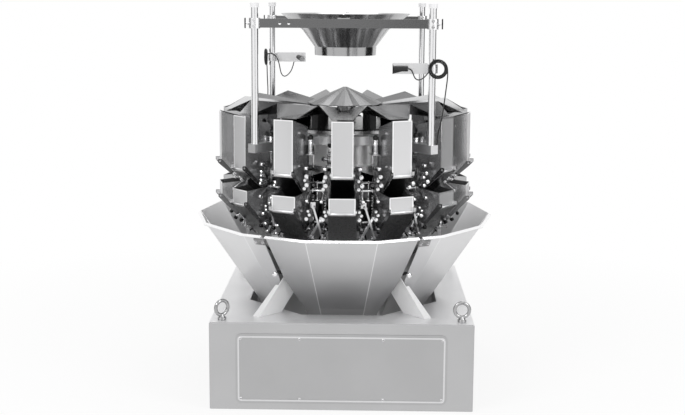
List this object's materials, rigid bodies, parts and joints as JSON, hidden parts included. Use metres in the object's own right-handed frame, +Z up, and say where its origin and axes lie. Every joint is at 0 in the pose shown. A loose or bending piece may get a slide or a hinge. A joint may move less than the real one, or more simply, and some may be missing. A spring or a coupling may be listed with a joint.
{
  "type": "multihead weigher",
  "caption": "Stainless combination weigher: funnel and cone over a ring of vibrating pans, feed and weigh hoppers with hinged gates, discharge chutes and a square base.",
  "frame": {"origin": "middle of the base's underside, on the floor", "axes": "+Z up; -Y is the front, the side with the bolted front cover"},
  "size_m": [1.3204, 1.2908, 1.667],
  "materials": {
    "housing_steel": "brushed, satin",
    "chute_steel": "brushed down the slope",
    "leg_steel": "satin plate",
    "body_steel": "bright satin",
    "hopper_steel": "embossed plate, bright folds",
    "feed_gate_steel": "satin",
    "weigh_gate_steel": "dark embossed plate",
    "pan_steel": "satin",
    "mast_steel": "polished tube and satin bar",
    "funnel_steel": "spun, bright",
    "sensor_steel": "satin arm, black sensor",
    "lead_rubber": "matt black"
  },
  "bodies": {
    "frame": {"base_housing": "housing_steel", "front_cover": "housing_steel", "chute_front": "chute_steel", "chute_front_right": "chute_steel", "chute_back_right": "chute_steel", "chute_back": "chute_steel", "chute_back_left": "chute_steel", "chute_front_left": "chute_steel", "support_frame": "leg_steel", "central_body": "body_steel", "hoppers_01": "hopper_steel", "hoppers_02": "hopper_steel", "hoppers_03": "hopper_steel", "hoppers_04": "hopper_steel", "hoppers_05": "hopper_steel", "hoppers_06": "hopper_steel", "hoppers_07": "hopper_steel", "hoppers_08": "hopper_steel", "hoppers_09": "hopper_steel", "hoppers_10": "hopper_steel", "hoppers_11": "hopper_steel", "hoppers_12": "hopper_steel", "hoppers_13": "hopper_steel", "hoppers_14": "hopper_steel", "feeder_pans": "pan_steel", "top_cone": "pan_steel", "mast_frame": "mast_steel", "infeed_funnel": "funnel_steel", "sensor_left": "sensor_steel", "sensor_right": "sensor_steel", "lead_left": "lead_rubber", "lead_right": "lead_rubber"},
    "feed_gate_01": {"feed_gate_01": "feed_gate_steel"},
    "weigh_gate_01": {"weigh_gate_01": "weigh_gate_steel"},
    "feed_gate_02": {"feed_gate_02": "feed_gate_steel"},
    "weigh_gate_02": {"weigh_gate_02": "weigh_gate_steel"},
    "feed_gate_03": {"feed_gate_03": "feed_gate_steel"},
    "weigh_gate_03": {"weigh_gate_03": "weigh_gate_steel"},
    "feed_gate_04": {"feed_gate_04": "feed_gate_steel"},
    "weigh_gate_04": {"weigh_gate_04": "weigh_gate_steel"},
    "feed_gate_05": {"feed_gate_05": "feed_gate_steel"},
    "weigh_gate_05": {"weigh_gate_05": "weigh_gate_steel"},
    "feed_gate_06": {"feed_gate_06": "feed_gate_steel"},
    "weigh_gate_06": {"weigh_gate_06": "weigh_gate_steel"},
    "feed_gate_07": {"feed_gate_07": "feed_gate_steel"},
    "weigh_gate_07": {"weigh_gate_07": "weigh_gate_steel"},
    "feed_gate_08": {"feed_gate_08": "feed_gate_steel"},
    "weigh_gate_08": {"weigh_gate_08": "weigh_gate_steel"},
    "feed_gate_09": {"feed_gate_09": "feed_gate_steel"},
    "weigh_gate_09": {"weigh_gate_09": "weigh_gate_steel"},
    "feed_gate_10": {"feed_gate_10": "feed_gate_steel"},
    "weigh_gate_10": {"weigh_gate_10": "weigh_gate_steel"},
    "feed_gate_11": {"feed_gate_11": "feed_gate_steel"},
    "weigh_gate_11": {"weigh_gate_11": "weigh_gate_steel"},
    "feed_gate_12": {"feed_gate_12": "feed_gate_steel"},
    "weigh_gate_12": {"weigh_gate_12": "weigh_gate_steel"},
    "feed_gate_13": {"feed_gate_13": "feed_gate_steel"},
    "weigh_gate_13": {"weigh_gate_13": "weigh_gate_steel"},
    "feed_gate_14": {"feed_gate_14": "feed_gate_steel"},
    "weigh_gate_14": {"weigh_gate_14": "weigh_gate_steel"}
  },
  "joints": [
    {"name": "feed_gate_01_hinge", "type": "hinge", "parent": "frame", "child": "feed_gate_01", "pos_m": [0, -0.563, 0.986], "axis": [-1, 0, 0], "range_deg": [0, 30]},
    {"name": "weigh_gate_01_hinge", "type": "hinge", "parent": "frame", "child": "weigh_gate_01", "pos_m": [0, -0.563, 0.836], "axis": [-1, 0, 0], "range_deg": [0, 35]},
    {"name": "feed_gate_02_hinge", "type": "hinge", "parent": "frame", "child": "feed_gate_02", "pos_m": [0.24428, -0.50724, 0.986], "axis": [-0.901, -0.4339, 0], "range_deg": [0, 30]},
    {"name": "weigh_gate_02_hinge", "type": "hinge", "parent": "frame", "child": "weigh_gate_02", "pos_m": [0.24428, -0.50724, 0.836], "axis": [-0.901, -0.4339, 0], "range_deg": [0, 35]},
    {"name": "feed_gate_03_hinge", "type": "hinge", "parent": "frame", "child": "feed_gate_03", "pos_m": [0.44017, -0.35102, 0.986], "axis": [-0.6235, -0.7818, 0], "range_deg": [0, 30]},
    {"name": "weigh_gate_03_hinge", "type": "hinge", "parent": "frame", "child": "weigh_gate_03", "pos_m": [0.44017, -0.35102, 0.836], "axis": [-0.6235, -0.7818, 0], "range_deg": [0, 35]},
    {"name": "feed_gate_04_hinge", "type": "hinge", "parent": "frame", "child": "feed_gate_04", "pos_m": [0.54888, -0.12528, 0.986], "axis": [-0.2225, -0.9749, 0], "range_deg": [0, 30]},
    {"name": "weigh_gate_04_hinge", "type": "hinge", "parent": "frame", "child": "weigh_gate_04", "pos_m": [0.54888, -0.12528, 0.836], "axis": [-0.2225, -0.9749, 0], "range_deg": [0, 35]},
    {"name": "feed_gate_05_hinge", "type": "hinge", "parent": "frame", "child": "feed_gate_05", "pos_m": [0.54888, 0.12528, 0.986], "axis": [0.2225, -0.9749, 0], "range_deg": [0, 30]},
    {"name": "weigh_gate_05_hinge", "type": "hinge", "parent": "frame", "child": "weigh_gate_05", "pos_m": [0.54888, 0.12528, 0.836], "axis": [0.2225, -0.9749, 0], "range_deg": [0, 35]},
    {"name": "feed_gate_06_hinge", "type": "hinge", "parent": "frame", "child": "feed_gate_06", "pos_m": [0.44017, 0.35102, 0.986], "axis": [0.6235, -0.7818, 0], "range_deg": [0, 30]},
    {"name": "weigh_gate_06_hinge", "type": "hinge", "parent": "frame", "child": "weigh_gate_06", "pos_m": [0.44017, 0.35102, 0.836], "axis": [0.6235, -0.7818, 0], "range_deg": [0, 35]},
    {"name": "feed_gate_07_hinge", "type": "hinge", "parent": "frame", "child": "feed_gate_07", "pos_m": [0.24428, 0.50724, 0.986], "axis": [0.901, -0.4339, 0], "range_deg": [0, 30]},
    {"name": "weigh_gate_07_hinge", "type": "hinge", "parent": "frame", "child": "weigh_gate_07", "pos_m": [0.24428, 0.50724, 0.836], "axis": [0.901, -0.4339, 0], "range_deg": [0, 35]},
    {"name": "feed_gate_08_hinge", "type": "hinge", "parent": "frame", "child": "feed_gate_08", "pos_m": [0, 0.563, 0.986], "axis": [1, 0, 0], "range_deg": [0, 30]},
    {"name": "weigh_gate_08_hinge", "type": "hinge", "parent": "frame", "child": "weigh_gate_08", "pos_m": [0, 0.563, 0.836], "axis": [1, 0, 0], "range_deg": [0, 35]},
    {"name": "feed_gate_09_hinge", "type": "hinge", "parent": "frame", "child": "feed_gate_09", "pos_m": [-0.24428, 0.50724, 0.986], "axis": [0.901, 0.4339, 0], "range_deg": [0, 30]},
    {"name": "weigh_gate_09_hinge", "type": "hinge", "parent": "frame", "child": "weigh_gate_09", "pos_m": [-0.24428, 0.50724, 0.836], "axis": [0.901, 0.4339, 0], "range_deg": [0, 35]},
    {"name": "feed_gate_10_hinge", "type": "hinge", "parent": "frame", "child": "feed_gate_10", "pos_m": [-0.44017, 0.35102, 0.986], "axis": [0.6235, 0.7818, 0], "range_deg": [0, 30]},
    {"name": "weigh_gate_10_hinge", "type": "hinge", "parent": "frame", "child": "weigh_gate_10", "pos_m": [-0.44017, 0.35102, 0.836], "axis": [0.6235, 0.7818, 0], "range_deg": [0, 35]},
    {"name": "feed_gate_11_hinge", "type": "hinge", "parent": "frame", "child": "feed_gate_11", "pos_m": [-0.54888, 0.12528, 0.986], "axis": [0.2225, 0.9749, 0], "range_deg": [0, 30]},
    {"name": "weigh_gate_11_hinge", "type": "hinge", "parent": "frame", "child": "weigh_gate_11", "pos_m": [-0.54888, 0.12528, 0.836], "axis": [0.2225, 0.9749, 0], "range_deg": [0, 35]},
    {"name": "feed_gate_12_hinge", "type": "hinge", "parent": "frame", "child": "feed_gate_12", "pos_m": [-0.54888, -0.12528, 0.986], "axis": [-0.2225, 0.9749, 0], "range_deg": [0, 30]},
    {"name": "weigh_gate_12_hinge", "type": "hinge", "parent": "frame", "child": "weigh_gate_12", "pos_m": [-0.54888, -0.12528, 0.836], "axis": [-0.2225, 0.9749, 0], "range_deg": [0, 35]},
    {"name": "feed_gate_13_hinge", "type": "hinge", "parent": "frame", "child": "feed_gate_13", "pos_m": [-0.44017, -0.35102, 0.986], "axis": [-0.6235, 0.7818, 0], "range_deg": [0, 30]},
    {"name": "weigh_gate_13_hinge", "type": "hinge", "parent": "frame", "child": "weigh_gate_13", "pos_m": [-0.44017, -0.35102, 0.836], "axis": [-0.6235, 0.7818, 0], "range_deg": [0, 35]},
    {"name": "feed_gate_14_hinge", "type": "hinge", "parent": "frame", "child": "feed_gate_14", "pos_m": [-0.24428, -0.50724, 0.986], "axis": [-0.901, 0.4339, 0], "range_deg": [0, 30]},
    {"name": "weigh_gate_14_hinge", "type": "hinge", "parent": "frame", "child": "weigh_gate_14", "pos_m": [-0.24428, -0.50724, 0.836], "axis": [-0.901, 0.4339, 0], "range_deg": [0, 35]}
  ]
}
